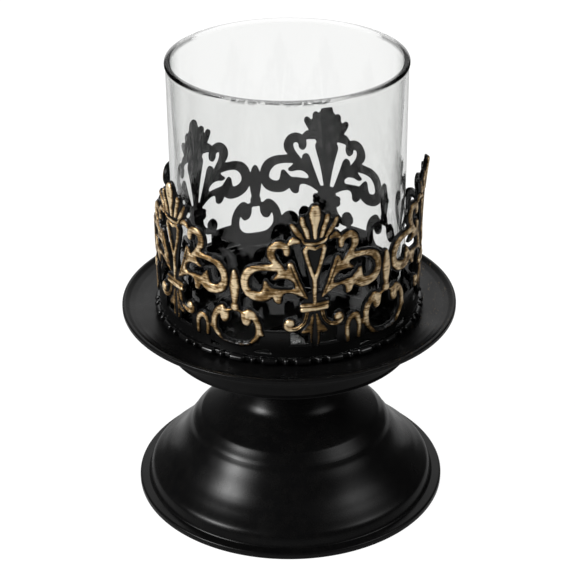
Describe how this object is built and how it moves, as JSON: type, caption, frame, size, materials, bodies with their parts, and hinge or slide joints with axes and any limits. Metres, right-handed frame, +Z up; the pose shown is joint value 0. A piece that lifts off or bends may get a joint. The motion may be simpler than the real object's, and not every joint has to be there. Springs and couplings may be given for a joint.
{
  "type": "pillar candle holder",
  "caption": "Footed candle holder: spun bell foot, wide dish with a well, pierced filigree gallery and a lift-out glass chimney.",
  "frame": {"origin": "centre of the foot's resting face", "axes": "+Z up along the holder's axis, -Y to the front, +X to the right seen from the front"},
  "size_m": [0.12, 0.12, 0.1656],
  "materials": {
    "black_paint": "satin black paint",
    "gold_filigree": "black cast metal, dry-brushed with antique gold on the raised relief",
    "bolt_steel": "zinc plated",
    "clear_glass": "clear, fire-polished lip"
  },
  "bodies": {
    "holder": {"foot_bell": "black_paint", "foot_dome": "black_paint", "dish": "black_paint", "gallery_ring": "black_paint", "seam_plate": "black_paint", "seam_rivet_1": "black_paint", "seam_rivet_2": "black_paint", "filigree_panel_1": "gold_filigree", "filigree_panel_2": "gold_filigree", "filigree_panel_3": "gold_filigree", "filigree_panel_4": "gold_filigree", "filigree_panel_5": "gold_filigree", "centre_bolt": "bolt_steel", "upper_washer": "bolt_steel", "lower_washer": "bolt_steel", "lock_washer": "bolt_steel", "hex_nut": "bolt_steel"},
    "chimney": {"glass_chimney": "clear_glass"}
  },
  "joints": [
    {"name": "glass_lift", "type": "slide", "parent": "holder", "child": "chimney", "axis": [0, 0, 1], "range_m": [0, 0.11]}
  ]
}
